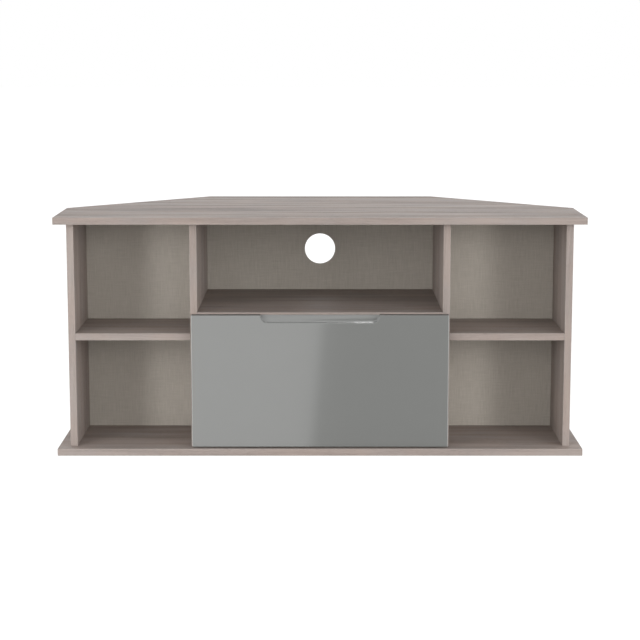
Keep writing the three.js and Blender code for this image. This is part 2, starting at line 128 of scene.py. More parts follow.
class Graph:
    """A node tree being built: most methods add a node or a few and return the output socket."""

    def __init__(self, tree):
        self.tree = tree

    def node(self, kind, **settings):
        made = self.tree.nodes.new(kind)
        for key, value in settings.items():
            setattr(made, key, value)
        return made

    def feed(self, socket, value):
        """Links an output socket to an input, or sets the input's own value."""
        if isinstance(value, bpy.types.NodeSocket):
            self.tree.links.new(value, socket)
        else:
            socket.default_value = value

    def math(self, operation, *values, clamp=False):
        made = self.node("ShaderNodeMath", operation=operation, use_clamp=clamp)
        for socket, value in zip(made.inputs, values):
            self.feed(socket, value)
        return made.outputs[0]

    def vector_math(self, operation, *values, out="Vector"):
        made = self.node("ShaderNodeVectorMath", operation=operation)
        for socket, value in zip(made.inputs, values):
            self.feed(socket, value)
        return made.outputs[out]

    def combine(self, x, y, z):
        made = self.node("ShaderNodeCombineXYZ")
        for socket, value in zip(made.inputs, (x, y, z)):
            self.feed(socket, value)
        return made.outputs[0]

    def separate(self, vector):
        made = self.node("ShaderNodeSeparateXYZ")
        self.feed(made.inputs[0], vector)
        return made.outputs

    def coordinates(self):
        """Object position and object normal, both in the row frame at rest."""
        made = self.node("ShaderNodeTexCoord")
        return made.outputs["Object"], made.outputs["Normal"]

    def noise(self, vector, detail=2.0, roughness=0.5):
        made = self.node("ShaderNodeTexNoise")
        self.feed(made.inputs["Vector"], vector)
        made.inputs["Scale"].default_value = 1.0
        made.inputs["Detail"].default_value = detail
        made.inputs["Roughness"].default_value = roughness
        return made.outputs["Fac"]

    def grain(self, place, per_metre, detail=2.0, roughness=0.5):
        """Noise with its own number of cycles per metre along x, y and z, or the same along all three."""
        scales = per_metre if isinstance(per_metre, tuple) else (per_metre,) * 3
        return self.noise(self.vector_math("MULTIPLY", place, scales), detail, roughness)

    def fit(self, value, low, high, to_low=0.0, to_high=1.0, smooth=False):
        made = self.node("ShaderNodeMapRange", clamp=True)
        made.interpolation_type = "SMOOTHSTEP" if smooth else "LINEAR"
        for socket, part in zip(made.inputs, (value, low, high, to_low, to_high)):
            self.feed(socket, part)
        return made.outputs[0]

    def ramp(self, factor, stops):
        made = self.node("ShaderNodeValToRGB")
        elements = made.color_ramp.elements
        while len(elements) < len(stops):
            elements.new(0.5)
        for element, (place, colour) in zip(elements, stops):
            element.position = place
            element.color = (*colour, 1.0)
        self.feed(made.inputs[0], factor)
        return made.outputs[0]

    def mix(self, factor, first, second, blend="MIX"):
        """Mixes two colours; the node's colour sockets are its inputs 6 and 7 and its output 2."""
        made = self.node("ShaderNodeMix", data_type="RGBA", blend_type=blend)
        self.feed(made.inputs["Factor"], factor)
        for socket, value in zip((made.inputs[6], made.inputs[7]), (first, second)):
            self.feed(socket, (*value, 1.0) if isinstance(value, tuple) else value)
        return made.outputs[2]

    def bump(self, height, distance, strength=1.0):
        made = self.node("ShaderNodeBump")
        made.inputs["Strength"].default_value = strength
        made.inputs["Distance"].default_value = distance
        self.feed(made.inputs["Height"], height)
        return made.outputs["Normal"]

    def product(self, first, second):
        return self.math("MULTIPLY", first, second)

    def weighted(self, *terms):
        """Sum of (socket, weight) pairs."""
        total = None
        for socket, weight in terms:
            part = self.product(socket, weight)
            total = part if total is None else self.math("ADD", total, part)
        return total


def new_material(name):
    material = bpy.data.materials.new(name)
    material.use_nodes = True
    material.node_tree.nodes.clear()
    return material, Graph(material.node_tree)


def finish_with(graph, shader):
    output = graph.node("ShaderNodeOutputMaterial")
    graph.feed(output.inputs["Surface"], shader)


def surface(graph, colour, roughness, normal, **constants):
    """Principled shader and output. Constants go on the shader's own sockets."""
    shader = graph.node("ShaderNodeBsdfPrincipled")
    graph.feed(shader.inputs["Base Color"], colour)
    graph.feed(shader.inputs["Roughness"], roughness)
    graph.feed(shader.inputs["Normal"], normal)
    for key, value in constants.items():
        shader.inputs[key.replace("_", " ")].default_value = value
    finish_with(graph, shader.outputs[0])


def second_nearest(graph, distances):
    """The second smallest of the distances to a board's faces: on its surface, how far an arris is."""
    nearest = graph.math("MINIMUM", distances[0], distances[1])
    second = graph.math("MAXIMUM", distances[0], distances[1])
    for distance in distances[2:]:
        second = graph.math("MINIMUM", second, graph.math("MAXIMUM", nearest, distance))
        nearest = graph.math("MINIMUM", nearest, distance)
    return second


def arris_distance(graph, place, box, cut=None):
    """Distance along the surface to a box's nearest arris. cut is |x| + y on cut-off rear corners."""
    low, high = box
    centre = (low + high) / 2
    half = (high - low) / 2
    from_centre = graph.vector_math("SUBTRACT", place, tuple(centre))
    away = graph.vector_math("ABSOLUTE", from_centre)
    inside = graph.separate(graph.vector_math("SUBTRACT", tuple(half), away))
    distances = [inside[0], inside[1], inside[2]]
    if cut is not None:
        x, y, _ = graph.separate(place)
        reach = graph.math("ADD", graph.math("ABSOLUTE", x), y)
        distances.append(graph.product(graph.math("SUBTRACT", cut, reach), math.sqrt(0.5)))
    return second_nearest(graph, distances)


# ---------------------------------------------------------------- oak boards

FACING = 0.7  # a normal's share along an axis from which the surface counts as facing that way
OAK_DARK = (0.186, 0.158, 0.145)
OAK_MID = (0.294, 0.255, 0.235)
OAK_LIGHT = (0.366, 0.324, 0.301)
OAK_PORE = (0.164, 0.137, 0.126)
OAK_WORN = (0.397, 0.362, 0.339)
OAK_WARMTH = (1.035, 0.985, 0.955)  # what a warmer patch multiplies the colour by
BAND_GLUE = (0.126, 0.107, 0.096)

# Layers of oak figure: cycles per metre along and across the grain, seed, detail.
SWAY = (2.2, 7.0, 1.7, 2.0)
BROAD = (1.1, 11.0, 4.1, 2.0)
BANDS = (2.2, 34.0, 9.3, 3.0)
LINES = (5.0, 260.0, 13.9, 3.0)
FIBRES = (16.0, 1100.0, 21.5, 2.0)
PORES = (75.0, 2100.0, 31.1, 1.0)
PATCHES = (9.0, 16.0, 41.7, 2.0)
RUB = (60.0, 60.0, 51.3, 3.0)
LAYER_ROUGHNESS = 0.55
SWAY_REACH = 0.045
TONE_RANGE = (1.17, 2.23)  # the weighted layers' sum, from the darkest figure to the palest
EDGE_FIGURE = 0.60  # contrast of the figure on edging, where a board's face has its own
TOP_FIGURE = 1.55
BOARD_FIGURE = 0.85

# Distances from an arris: where the foil starts to be worn pale and is fully so, and where the edging's
# glue line starts and is full, seen from the arris and from the board's middle.
WORN_BAND = (0.0011, 0.0002)
GLUE_NEAR = (0.0012, 0.00135)
GLUE_FAR = (0.0017, 0.00155)


def oak_material(name, box, upright, seed, figure, cut=None):
    """Oak-effect melamine: foil grain along the board, edging that follows each edge, worn arrises."""
    material, graph = new_material(name)
    place, normal = graph.coordinates()
    x, y, z = graph.separate(place)
    nx, ny, nz = graph.separate(normal)
    if upright:
        along = z
        across = graph.math("ADD", x, y)
        flat = graph.math("GREATER_THAN", graph.math("ABSOLUTE", nx), FACING)
    else:
        flat = graph.math("GREATER_THAN", graph.math("ABSOLUTE", nz), FACING)
        edge_way = graph.combine(graph.product(ny, -1.0), nx, 0.0)
        edge_way = graph.vector_math("NORMALIZE", edge_way)
        on_edge = graph.vector_math("DOT_PRODUCT", place, edge_way, out="Value")
        along = graph.fit(flat, 0.0, 1.0, on_edge, x)
        across = graph.fit(flat, 0.0, 1.0, z, y)
    side = graph.math("ADD", graph.weighted((nx, 3.1), (ny, 5.3), (nz, 7.7)), seed)

    def layer(kind, source):
        per_metre_along, per_metre_across, shift, detail = kind
        vector = graph.combine(
            graph.product(along, per_metre_along),
            graph.product(source, per_metre_across),
            graph.math("ADD", side, shift),
        )
        return graph.noise(vector, detail, LAYER_ROUGHNESS)

    centred_sway = graph.math("SUBTRACT", layer(SWAY, across), 0.5)
    waved = graph.math("ADD", across, graph.product(centred_sway, SWAY_REACH))
    broad, bands, lines = (layer(kind, waved) for kind in (BROAD, BANDS, LINES))
    fibres, pores, patches, rub = (layer(kind, across) for kind in (FIBRES, PORES, PATCHES, RUB))

    tone = graph.weighted((broad, 0.40), (bands, 1.35), (lines, 1.05), (fibres, 0.35), (patches, 0.25))
    tone = graph.fit(tone, *TONE_RANGE, -0.5, 0.5)
    contrast = graph.fit(flat, 0.0, 1.0, EDGE_FIGURE, figure)
    tone = graph.math("MULTIPLY_ADD", tone, contrast, 0.5)
    colour = graph.ramp(tone, ((0.0, OAK_DARK), (0.52, OAK_MID), (1.0, OAK_LIGHT)))
    warm = graph.fit(patches, 0.35, 0.65)
    colour = graph.mix(warm, colour, graph.mix(1.0, colour, OAK_WARMTH, "MULTIPLY"))
    pore = graph.product(graph.fit(pores, 0.60, 0.68), graph.fit(bands, 0.62, 0.42, 0.15, 1.0))
    colour = graph.mix(graph.product(pore, 0.55), colour, OAK_PORE)

    arris = arris_distance(graph, place, box, cut)
    worn = graph.product(graph.fit(arris, *WORN_BAND), graph.fit(rub, 0.38, 0.62, 0.15, 0.8))
    colour = graph.mix(worn, colour, OAK_WORN)
    glue = graph.product(graph.fit(arris, *GLUE_NEAR), graph.fit(arris, *GLUE_FAR))
    colour = graph.mix(graph.product(graph.product(glue, flat), 0.45), colour, BAND_GLUE)

    rough = graph.weighted((lines, 0.18), (pore, 0.16), (rub, 0.10), (worn, 0.06))
    rough = graph.math("ADD", rough, 0.36)
    relief = graph.weighted((lines, 0.35), (fibres, 0.35), (pore, -0.8), (glue, -0.6))
    surface(graph, colour, rough, graph.bump(relief, 0.00012, 0.8), IOR=1.45, Specular_IOR_Level=0.10)
    return material


# ---------------------------------------------------------------- other materials

LINEN_DARK = (0.363, 0.330, 0.285)
LINEN_LIGHT = (0.504, 0.468, 0.416)
THREADS_ALONG = 26.0  # slubs per metre of a thread
THREADS_ACROSS = 560.0
WEAVE_PITCH = 0.0014
HARDBOARD_DARK = (0.190, 0.118, 0.066)
HARDBOARD_LIGHT = (0.300, 0.200, 0.122)


def linen_material():
    """Hardboard backs: woven linen print in front, raw brown fibreboard behind."""
    material, graph = new_material("linen_board_printed")
    place, normal = graph.coordinates()
    x, y, z = graph.separate(place)
    facing_back = graph.math("GREATER_THAN", graph.separate(normal)[1], 0.5)

    def threads(run, cross, shift):
        """Slubby threads along run, side by side in cross."""
        vector = graph.combine(
            graph.product(run, THREADS_ALONG),
            graph.product(cross, THREADS_ACROSS),
            graph.math("ADD", y, shift),
        )
        return graph.noise(vector, 3.0, 0.65)

    weft = threads(x, z, 3.0)
    warp = threads(z, x, 11.0)
    turns = 2.0 * math.pi / WEAVE_PITCH
    over = graph.math("SINE", graph.product(x, turns))
    under = graph.math("SINE", graph.product(z, turns))
    weave = graph.product(over, under)
    cloudy = graph.grain(place, 9.0)
    tone = graph.weighted((weft, 0.85), (warp, 1.15), (weave, 0.07), (cloudy, 0.3))
    printed = graph.ramp(graph.fit(tone, 0.75, 1.55), ((0.0, LINEN_DARK), (1.0, LINEN_LIGHT)))

    fibre = graph.grain(place, (420.0, 420.0, 900.0), 4.0, 0.7)
    blotch = graph.grain(place, 38.0, 4.0, 0.6)
    raw_tone = graph.fit(graph.weighted((fibre, 0.9), (blotch, 0.3)), 0.30, 0.90)
    raw = graph.ramp(raw_tone, ((0.0, HARDBOARD_DARK), (1.0, HARDBOARD_LIGHT)))

    colour = graph.mix(facing_back, printed, raw)
    front_relief = graph.weighted((weft, 0.6), (warp, 0.6), (weave, 0.18))
    relief = graph.fit(facing_back, 0.0, 1.0, front_relief, fibre)
    rough = graph.fit(facing_back, 0.0, 1.0, graph.fit(tone, 0.7, 1.6, 0.62, 0.78), 0.88)
    surface(graph, colour, rough, graph.bump(relief, 0.0003, 0.8), IOR=1.4)
    return material


GLOSS_GREY = (0.158, 0.161, 0.155)
GLOSS_PALE = (0.166, 0.169, 0.163)
# Painted highlight: the pale colour given to the gloss front's rounded side arrises.
GLOSS_ARRIS_HIGHLIGHT = (0.42, 0.43, 0.42)
# |normal.x| where the painted highlight on the side arrises begins and is full, and where it ends again.
ARRIS_HIGHLIGHT_STARTS = (0.12, 0.40)
ARRIS_HIGHLIGHT_ENDS = (0.97, 0.80)


def gloss_material():
    """High-gloss foil under a clear coat: faint orange peel and swirl marks, with a painted highlight over
    the side arrises.
    """
    material, graph = new_material("gloss_front_lacquer")
    place, normal = graph.coordinates()
    cloud = graph.grain(place, 22.0, 3.0)
    speck = graph.grain(place, 2400.0, 1.0)
    tone = graph.fit(graph.weighted((cloud, 0.3), (speck, 0.7)), 0.2, 0.8)
    colour = graph.mix(tone, GLOSS_GREY, GLOSS_PALE)
    # Painted highlight: the side arrises' bevels are coloured pale, away from the recess.
    sideways = graph.math("ABSOLUTE", graph.separate(normal)[0])
    arris = graph.product(graph.fit(sideways, *ARRIS_HIGHLIGHT_STARTS), graph.fit(sideways, *ARRIS_HIGHLIGHT_ENDS))
    from_middle = graph.math("ABSOLUTE", graph.separate(place)[0])
    past_recess = graph.math("GREATER_THAN", from_middle, 2 * RECESS_HALF)
    colour = graph.mix(graph.product(arris, past_recess), colour, GLOSS_ARRIS_HIGHLIGHT)
    peel = graph.bump(graph.grain(place, 230.0, 1.0), 0.00002, 0.12)
    swirl = graph.grain(place, (35.0, 0.0, 900.0))
    rough = graph.fit(swirl, 0.35, 0.75, 0.10, 0.17)
    surface(graph, colour, rough, peel, IOR=1.5, Coat_Weight=1.0, Coat_Roughness=0.03)
    return material


# Painted shade: the edging's dark grey stands for the shaded top edge of the drawer front.
EDGING_SHADE_GREY = (0.110, 0.106, 0.101)
EDGING_SHADE_PALE = (0.160, 0.155, 0.148)


def shade_edging_material():
    """Matt edging whose dark grey is painted shade on the front's top edge: fine pressed stipple with drawn
    lines along it.
    """
    material, graph = new_material("front_edging_painted_shade")
    place, _ = graph.coordinates()
    drawn = graph.grain(place, (12.0, 1400.0, 1400.0))
    stipple = graph.grain(place, 1800.0)
    tone = graph.fit(graph.weighted((drawn, 0.6), (stipple, 0.4)), 0.3, 0.7)
    colour = graph.mix(tone, EDGING_SHADE_GREY, EDGING_SHADE_PALE)
    rough = graph.fit(stipple, 0.3, 0.7, 0.55, 0.75)
    surface(graph, colour, rough, graph.bump(tone, 0.00003, 0.6), IOR=1.45, Specular_IOR_Level=0.2)
    return material


FOIL_PALE = (0.470, 0.448, 0.415)
FOIL_DEEP = (0.390, 0.368, 0.338)


def drawer_foil_material():
    """Light grey drawer boards: paper foil with fine streaks and a pressed texture."""
    material, graph = new_material("drawer_board_foil")
    place, _ = graph.coordinates()
    streak = graph.grain(place, (14.0, 14.0, 520.0), 3.0, 0.6)
    fine = graph.grain(place, 1500.0)
    cloud = graph.grain(place, 11.0)
    tone = graph.fit(graph.weighted((streak, 0.5), (fine, 0.35), (cloud, 0.4)), 0.42, 0.85)
    colour = graph.ramp(tone, ((0.0, FOIL_DEEP), (1.0, FOIL_PALE)))
    rough = graph.fit(fine, 0.3, 0.7, 0.48, 0.62)
    relief = graph.weighted((fine, 0.6), (streak, 0.4))
    surface(graph, colour, rough, graph.bump(relief, 0.00008, 0.7), IOR=1.45)
    return material


ZINC_BRIGHT = (0.66, 0.67, 0.69)
ZINC_DULL = (0.40, 0.41, 0.43)
ZINC_TINT = (0.62, 0.60, 0.50)


def zinc_material():
    """Bright zinc-plated sheet: rolled along its length, with a faint passivation tint and scuffed spots."""
    material, graph = new_material("zinc_steel_plated")
    place, _ = graph.coordinates()
    lines = graph.grain(place, (900.0, 22.0, 900.0), 3.0, 0.6)
    cloud = graph.grain(place, (60.0, 25.0, 60.0), 3.0)
    spots = graph.grain(place, 480.0)
    colour = graph.mix(graph.fit(lines, 0.3, 0.7), ZINC_DULL, ZINC_BRIGHT)
    colour = graph.mix(graph.fit(cloud, 0.45, 0.75, 0.0, 0.35), colour, ZINC_TINT)
    colour = graph.mix(graph.fit(spots, 0.62, 0.74, 0.0, 0.5), colour, ZINC_DULL)
    rough = graph.weighted((lines, 0.20), (spots, 0.14), (cloud, 0.08))
    rough = graph.math("ADD", rough, 0.16)
    surface(graph, colour, rough, graph.bump(lines, 0.00003, 0.6), Metallic=1.0)
    return material


NYLON_PALE = (0.80, 0.79, 0.75)
NYLON_DEEP = (0.66, 0.64, 0.58)


def nylon_material():
    """Natural nylon rollers: milky, with mould flow marks and grimy specks."""
    material, graph = new_material("roller_plastic_nylon")
    place, _ = graph.coordinates()
    flow = graph.grain(place, (90.0, 260.0, 260.0), 3.0, 0.6)
    grit = graph.grain(place, 1800.0)
    colour = graph.mix(graph.fit(flow, 0.35, 0.65), NYLON_DEEP, NYLON_PALE)
    colour = graph.mix(graph.fit(grit, 0.60, 0.72, 0.0, 0.4), colour, NYLON_DEEP)
    rough = graph.fit(grit, 0.3, 0.7, 0.34, 0.52)
    relief = graph.bump(graph.weighted((flow, 0.4), (grit, 0.6)), 0.00004, 0.7)
    surface(graph, colour, rough, relief, IOR=1.53, Subsurface_Weight=0.12, Subsurface_Scale=0.002)
    return material


BEECH_PALE = (0.60, 0.43, 0.27)
BEECH_DEEP = (0.44, 0.28, 0.155)


def beech_material():
    """Beech dowels: close grain with short dark flecks."""
    material, graph = new_material("beech_dowel")
    place, _ = graph.coordinates()
    grain = graph.grain(place, (700.0, 700.0, 90.0), 3.0, 0.6)
    fleck = graph.grain(place, (2600.0, 2600.0, 500.0), 1.0)
    colour = graph.mix(graph.fit(grain, 0.35, 0.65), BEECH_DEEP, BEECH_PALE)
    colour = graph.mix(graph.fit(fleck, 0.62, 0.70, 0.0, 0.6), colour, BEECH_DEEP)
    rough = graph.fit(grain, 0.3, 0.7, 0.55, 0.72)
    surface(graph, colour, rough, graph.bump(grain, 0.0001, 0.8), IOR=1.45)
    return material


CAST_PALE = (0.44, 0.45, 0.47)
CAST_DEEP = (0.27, 0.28, 0.30)


def cast_zinc_material():
    """Die-cast zinc cams: fine cast skin over a cloudy grey."""
    material, graph = new_material("cam_zinc_cast")
    place, _ = graph.coordinates()
    skin = graph.grain(place, 1400.0, 3.0, 0.65)
    cloud = graph.grain(place, 180.0)
    tone = graph.fit(graph.weighted((skin, 0.6), (cloud, 0.4)), 0.3, 0.7)
    colour = graph.mix(tone, CAST_DEEP, CAST_PALE)
    rough = graph.fit(skin, 0.3, 0.7, 0.38, 0.58)
    surface(graph, colour, rough, graph.bump(skin, 0.0001, 0.8), Metallic=1.0)
    return material


# ---------------------------------------------------------------- finishing the CAD boards


ARRIS_RADIUS = {"oak_board": 0.0007, "drawer_board": 0.0006}
UPRIGHTS = ("left_end_panel", "right_end_panel", "left_divider", "right_divider")
CUT_CORNER_BOARDS = ("top_board", "base_board")
CORNER_CUT = 0.5205  # |x| + y along the top's and the base's cut-off rear corners
SEED_STEP = 17.3  # how far apart two boards' figures are taken
WELD_REACH = 0.00001
SHARP_ANGLE = 40.0  # degrees, from which an edge of a board is rounded


def weld_and_round(obj, radius, segments=2):
    """Joins the imported facets and rounds the sharp arrises, by modifiers only."""
    weld = obj.modifiers.new("weld", "WELD")
    weld.merge_threshold = WELD_REACH
    if radius:
        bevel = obj.modifiers.new("arrises", "BEVEL")
        bevel.width = radius
        bevel.segments = segments
        bevel.limit_method = "ANGLE"
        bevel.angle_limit = math.radians(SHARP_ANGLE)
        bevel.use_clamp_overlap = True


def set_material(obj, material):
    obj.data.materials.clear()
    obj.data.materials.append(material)


def dress_cad_nodes():
    """Gives every CAD node its finish and soft arrises. Returns the shared finishes by slot."""
    shared = {
        "linen_board": linen_material(),
        "gloss_front": gloss_material(),
        "drawer_board": drawer_foil_material(),
        "zinc_steel": zinc_material(),
        "roller_plastic": nylon_material(),
        "beech": beech_material(),
        "cam_zinc": cast_zinc_material(),
    }
    for number, node in enumerate(sorted(NODES)):
        obj = NODES[node]
        slot = SLOT_OF[node]
        if slot == "oak_board":
            cut = CORNER_CUT if node in CUT_CORNER_BOARDS else None
            figure = TOP_FIGURE if node == "top_board" else BOARD_FIGURE
            seed = SEED_STEP * number
            material = oak_material("oak_" + node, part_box(node), node in UPRIGHTS, seed, figure, cut)
        else:
            material = shared[slot]
        set_material(obj, material)
        weld_and_round(obj, ARRIS_RADIUS.get(slot, 0.0))
    return shared


# ---------------------------------------------------------------- pieces made here


def new_piece(name, bm, material, body):
    """A mesh object from a bmesh, that rides on a body and takes the given finish."""
    bmesh.ops.recalc_face_normals(bm, faces=bm.faces)
    mesh = bpy.data.meshes.new(name)
    bm.to_mesh(mesh)
    bm.free()
    mesh.materials.append(material)
    piece = bpy.data.objects.new(name, mesh)
    bpy.context.scene.collection.objects.link(piece)
    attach(piece, body)
    return piece


def smooth_with_creases(bm, crease_degrees):
    """Smooth shading everywhere but across edges that fold more than the crease angle."""
    bm.normal_update()
    for face in bm.faces:
        face.smooth = True
    for edge in bm.edges:
        if len(edge.link_faces) == 2:
            edge.smooth = edge.calc_face_angle() < math.radians(crease_degrees)


def closed_pairs(points):
    """Neighbours round a closed list of points."""
    return list(zip(points, points[1:] + points[:1]))


def ring_points(radius, count):
    """Points evenly spaced on a circle round the origin."""
    for i in range(count):
        angle = 2.0 * math.pi * i / count
        yield radius * math.cos(angle), radius * math.sin(angle)


def recess_path(top, offset):
    """The finger recess seen from the front, from its top left round to its top right, as (x, z)."""
    half = RECESS_HALF + offset
    bottom = top - RECESS_DROP - offset
    corner = RECESS_CORNER + offset
    path = [(-half, top)]
    for centre_x, start in ((corner - half, math.pi), (half - corner, 1.5 * math.pi)):
        for step in range(RECESS_CORNER_STEPS + 1):
            angle = start + 0.5 * math.pi * step / RECESS_CORNER_STEPS
            path.append((centre_x + corner * math.cos(angle), bottom + corner + corner * math.sin(angle)))
    path.append((half, top))
    return path


def recess_section(face_y):
    """The recess cut across: (offset, y) down the lip, under it, and round the cove to the rear wall."""
    lip_back = face_y + LIP_THICKNESS
    section = [(0.0, face_y), (0.0, lip_back), (LIP_UNDERCUT, lip_back)]
    for step in range(1, COVE_STEPS + 1):
        angle = 0.5 * math.pi * step / COVE_STEPS
        section.append((LIP_UNDERCUT - COVE * (1.0 - math.cos(angle)), lip_back + COVE * math.sin(angle)))
    return section


def sunk_hole(bm, outline, depth):
    """Walls and floor of a blind hole from a closed outline on the rear face, sunk towards the front."""
    floor = [bm.verts.new((v.co.x, v.co.y - depth, v.co.z)) for v in outline]
    for (rim, next_rim), (deep, next_deep) in zip(closed_pairs(outline), closed_pairs(floor)):
        bm.faces.new((rim, next_rim, next_deep, deep))
    bm.faces.new(floor)


def rear_outlines(bm, back_y):
    """(outline, depth) of each hole in the front's rear: the bottom's slot, then the four bolt holes."""
    bottom_low, bottom_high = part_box("drawer_bottom")
    slot_z = (bottom_low.z - SLOT_AIR, bottom_high.z + SLOT_AIR)
    slot_x = (-SLOT_HALF_LENGTH, SLOT_HALF_LENGTH)
    slot_corners = [(x, z) for z, xs in zip(slot_z, (slot_x, slot_x[::-1])) for x in xs]
    outlines = [([bm.verts.new((x, back_y, z)) for x, z in slot_corners], SLOT_DEPTH)]
    for side in ("left", "right"):
        for level in ("lower", "upper"):
            cam_low, cam_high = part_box("drawer_" + side + "_cam_" + level)
            side_low, side_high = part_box("drawer_" + side + "_side")
            x = (side_low.x + side_high.x) / 2
            z = (cam_low.z + cam_high.z) / 2
            around = ring_points(BOLT_HOLE_RADIUS, BOLT_HOLE_SIDES)
            outlines.append(([bm.verts.new((x + u, back_y, z + v)) for u, v in around], BOLT_HOLE_DEPTH))
    return outlines


def close_rear(bm, back, back_y):
    """The front's rear face, with its holes."""
    outlines = rear_outlines(bm, back_y)
    for outline, depth in outlines:
        sunk_hole(bm, outline, depth)
    rims = [bm.edges.get(pair) or bm.edges.new(pair) for pair in closed_pairs(back)]
    for outline, _ in outlines:
        rims += [bm.edges.get(pair) for pair in closed_pairs(outline)]
    bmesh.ops.triangle_fill(bm, use_beauty=True, use_dissolve=False, edges=rims)


def weigh_arrises(bm, front, back, rings):
    """Sets each kind of edge's share of the front's arris width."""
    weight = bm.edges.layers.float.new("bevel_weight_edge")
    lip, lip_back = rings[0], rings[1]
    for share, pairs in (
        (TOP_AND_BOTTOM_SHARE, [(front[0], front[1]), (front[2], lip[-1]), (lip[0], front[3])]),
        (LIP_AND_SIDE_SHARE, [(front[1], front[2]), (front[3], front[0]), *zip(lip, lip[1:])]),
        (LIP_BACK_SHARE, zip(lip_back, lip_back[1:])),
        (FRONT_TO_BACK_SHARE, zip(front, back)),
        (REAR_SHARE, closed_pairs(back)),
        (LIP_END_SHARE, [(lip[0], lip_back[0]), (lip[-1], lip_back[-1])]),
    ):
        for pair in pairs:
            bm.edges.get(pair)[weight] = share


def make_drawer_front(material):
    """The gloss front: soft arrises, a routed finger recess with a cove behind its lip, rear holes."""
    low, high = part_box("drawer_front")
    face_y, back_y, top = low.y, high.y, high.z
    bm = bmesh.new()
    rings = []
    for offset, y in recess_section(face_y):
        rings.append([bm.verts.new((x, y, z)) for x, z in recess_path(top, offset)])
    for near, far in zip(rings, rings[1:]):
        for i in range(len(near) - 1):
            bm.faces.new((near[i], near[i + 1], far[i + 1], far[i]))
    bm.faces.new(rings[-1])

    corners = [(low.x, low.z), (high.x, low.z), (high.x, top), (low.x, top)]
    front = [bm.verts.new((x, face_y, z)) for x, z in corners]
    back = [bm.verts.new((x, back_y, z)) for x, z in corners]
    bm.faces.new((*front[:3], *reversed(rings[0]), front[3]))
    left_ends = [ring[0] for ring in rings]
    right_ends = [ring[-1] for ring in reversed(rings)]
    bm.faces.new((front[3], *left_ends, *right_ends, front[2], back[2], back[3]))
    for i, j in ((0, 1), (1, 2), (3, 0)):
        bm.faces.new((front[i], front[j], back[j], back[i]))
    close_rear(bm, back, back_y)

    bmesh.ops.recalc_face_normals(bm, faces=bm.faces)
    smooth_with_creases(bm, FRONT_CREASE)
    weigh_arrises(bm, front, back, rings)
    piece = new_piece("drawer_front_gloss", bm, material, "drawer")
    bevel = piece.modifiers.new("arrises", "BEVEL")
    bevel.limit_method = "WEIGHT"
    bevel.width = FRONT_ARRIS
    bevel.segments = FRONT_ARRIS_STEPS
    bevel.harden_normals = True
    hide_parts("drawer_front")


def make_front_shade_edging():
    """Two thin edging strips on the front's top edge, either side of the finger recess, dark grey as painted
    shade.
    """
    low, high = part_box("drawer_front")
    bm = bmesh.new()
    near, far = low.y + EDGING_INSET, high.y - EDGING_INSET
    crown = high.z + EDGING_THICKNESS
    shoulder = crown - EDGING_THICKNESS / 3
    section = [
        (near, high.z),
        (near + EDGING_INSET / 4, shoulder),
        (near + EDGING_INSET, crown),
        (far - EDGING_INSET, crown),
        (far - EDGING_INSET / 4, shoulder),
        (far, high.z),
    ]
    for side in (-1, 1):
        ends = (side * (RECESS_HALF + FRONT_ARRIS), side * (high.x - EDGING_INSET))
        rings = [[bm.verts.new((x, y, z)) for y, z in section] for x in ends]
        for ring in rings:
            bm.faces.new(ring)
        for (inner, next_inner), (outer, next_outer) in zip(*map(closed_pairs, rings)):
            bm.faces.new((inner, next_inner, next_outer, outer))
    smooth_with_creases(bm, EDGING_CREASE)
    new_piece("drawer_front_shade_edging", bm, shade_edging_material(), "drawer")


def head_height(across, up, radius, rise, cross):
    """Height of a domed head at a point of it. cross is its recess's half width, reach and depth, or None."""
    share = min(1.0, math.hypot(across, up) / radius)
    height = rise * math.sqrt(max(0.0, 1.0 - share ** 4))
    if cross is None:
        return height
    cross_half, cross_reach, cross_depth = cross
    u, v = abs(across), abs(up)
    outside = min(max(u - cross_half, v - cross_reach), max(v - cross_half, u - cross_reach))
    sunk = min(1.0, max(0.0, -outside / (0.7 * cross_half)))
    return height - cross_depth * sunk * sunk * (3.0 - 2.0 * sunk)


def add_head(bm, centre, out, radius, rise, cross=None, rings=9, around=28):
    """A round head lying on a surface: centre is on the surface, out is the way that it faces."""
    out = Vector(out).normalized()
    sideways = out.orthogonal().normalized()
    upwards = out.cross(sideways)
    middle = Vector(centre)

    def point(u, v):
        return middle + sideways * u + upwards * v + out * head_height(u, v, radius, rise, cross)

    loops = []
    for k in range(1, rings + 1):
        reach = radius * (k / rings) ** 0.8
        loops.append([bm.verts.new(point(u, v)) for u, v in ring_points(reach, around)])
    tip = bm.verts.new(point(0.0, 0.0))
    for i in range(around):
        j = (i + 1) % around
        bm.faces.new((tip, loops[0][i], loops[0][j]))
        for inner, outer in zip(loops, loops[1:]):
            bm.faces.new((inner[i], outer[i], outer[j], inner[j]))
    bm.faces.new(list(reversed(loops[-1])))


def make_runner_screws(material):
    """Low cross-recessed screws that hold the runners to the dividers and to the drawer sides."""
    for side, sign in (("left", -1.0), ("right", 1.0)):
        for member, body, out in (("cabinet", "carcass", -sign), ("drawer", "drawer", sign)):
            low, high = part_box(side + "_" + member + "_runner")
            if member == "cabinet":
                web = max(abs(low.x), abs(high.x)) - RUNNER_SHEET
            else:
                side_low, side_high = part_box("drawer_" + side + "_side")
                web = max(abs(side_low.x), abs(side_high.x)) + RUNNER_AIR + RUNNER_SHEET
            bm = bmesh.new()
            for setback in SCREW_SETBACKS:
                place = (sign * web, low.y + setback, (low.z + high.z) / 2)
                add_head(bm, place, (out, 0.0, 0.0), SCREW_HEAD_RADIUS, SCREW_HEAD_RISE, SCREW_CROSS)
            smooth_with_creases(bm, SCREW_CREASE)
            new_piece(side + "_" + member + "_runner_screws", bm, material, body)


def spaced(low, high):
    """Even places from near one end to near the other, about PIN_SPACING apart."""
    start, stop = low + PIN_END, high - PIN_END
    count = max(2, round((stop - start) / PIN_SPACING) + 1)
    return [start + (stop - start) * i / (count - 1) for i in range(count)]


